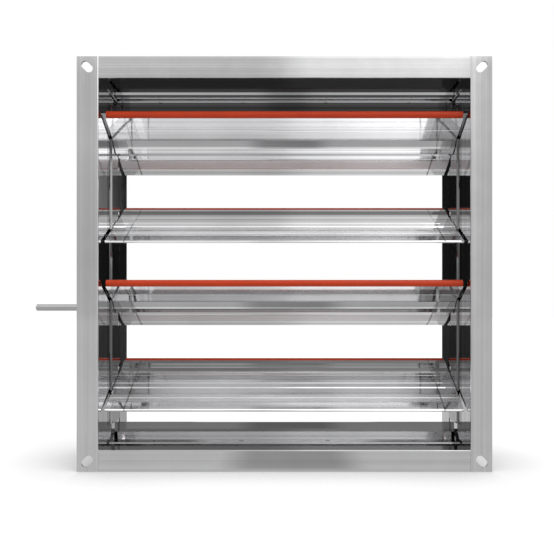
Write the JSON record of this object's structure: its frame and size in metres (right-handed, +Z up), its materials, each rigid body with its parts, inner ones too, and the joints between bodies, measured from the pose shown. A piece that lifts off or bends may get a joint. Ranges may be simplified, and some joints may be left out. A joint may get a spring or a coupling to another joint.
{
  "type": "fire and smoke damper",
  "caption": "Square multi-blade duct damper: hollow aluminium blades with silicone edge seals, geared to turn in opposite pairs inside a flanged channel frame.",
  "frame": {"origin": "duct axis, in the plane of the front flange face", "axes": "+X across the duct, away from the drive shaft; +Y along the air path, from the front flange to the rear one; +Z up"},
  "size_m": [0.552, 0.125, 0.48],
  "materials": {
    "channel_aluminium": "mill finish, fine die lines along the extrusion",
    "blade_aluminium": "bright mill finish, fine die lines along the blade",
    "stop_aluminium": "folded sheet, satin",
    "side_seal_steel": "bright spring sheet",
    "silicone": "matt orange-red silicone",
    "shaft_steel": "zinc plated, satin",
    "bush_plastic": "natural moulded plastic",
    "gear_plastic": "dark glass-filled plastic",
    "dark_steel": "blackened steel",
    "ring_steel": "phosphated spring steel",
    "fastener_steel": "bright plated"
  },
  "bodies": {
    "frame": {"left_channel": "channel_aluminium", "right_channel": "channel_aluminium", "top_channel": "channel_aluminium", "bottom_channel": "channel_aluminium", "top_stop": "stop_aluminium", "bottom_stop": "stop_aluminium", "left_side_seal": "side_seal_steel", "right_side_seal": "side_seal_steel", "left_bush_1": "bush_plastic", "left_bush_2": "bush_plastic", "left_bush_3": "bush_plastic", "left_bush_4": "bush_plastic", "right_bush_1": "bush_plastic", "right_bush_2": "bush_plastic", "right_bush_3": "bush_plastic", "right_bush_4": "bush_plastic", "corner_screws": "fastener_steel", "stop_rivets": "fastener_steel", "side_seal_rivets": "fastener_steel"},
    "blade_set_1": {"blade_1": "blade_aluminium", "blade_seal_1": "silicone", "drive_journal_1": "shaft_steel", "idle_journal_1": "shaft_steel", "gear_1": "gear_plastic", "gear_set_screw_1": "dark_steel", "retaining_rings_1": "ring_steel"},
    "blade_set_2": {"blade_2": "blade_aluminium", "blade_seal_2": "silicone", "drive_journal_2": "shaft_steel", "idle_journal_2": "shaft_steel", "gear_2": "gear_plastic", "gear_set_screw_2": "dark_steel", "retaining_rings_2": "ring_steel"},
    "blade_set_3": {"blade_3": "blade_aluminium", "blade_seal_3": "silicone", "drive_shaft": "shaft_steel", "idle_journal_3": "shaft_steel", "gear_3": "gear_plastic", "gear_set_screw_3": "dark_steel", "retaining_rings_3": "ring_steel"},
    "blade_set_4": {"blade_4": "blade_aluminium", "blade_seal_4": "silicone", "drive_journal_4": "shaft_steel", "idle_journal_4": "shaft_steel", "gear_4": "gear_plastic", "gear_set_screw_4": "dark_steel", "retaining_rings_4": "ring_steel"}
  },
  "joints": [
    {"name": "blade_3_turn", "type": "hinge", "parent": "frame", "child": "blade_set_3", "pos_m": [0, 0.0625, -0.05], "axis": [-1, 0, 0], "range_deg": [-30, 60]},
    {"name": "blade_1_turn", "type": "hinge", "parent": "frame", "child": "blade_set_1", "pos_m": [0, 0.0625, 0.15], "axis": [-1, 0, 0], "range_deg": [-30, 60]},
    {"name": "blade_2_turn", "type": "hinge", "parent": "frame", "child": "blade_set_2", "pos_m": [0, 0.0625, 0.05], "axis": [-1, 0, 0], "range_deg": [-60, 30]},
    {"name": "blade_4_turn", "type": "hinge", "parent": "frame", "child": "blade_set_4", "pos_m": [0, 0.0625, -0.15], "axis": [-1, 0, 0], "range_deg": [-60, 30]}
  ],
  "couplings": [
    {"joint": "blade_1_turn", "follows": "blade_3_turn", "ratio": 1},
    {"joint": "blade_2_turn", "follows": "blade_3_turn", "ratio": -1},
    {"joint": "blade_4_turn", "follows": "blade_3_turn", "ratio": -1}
  ]
}
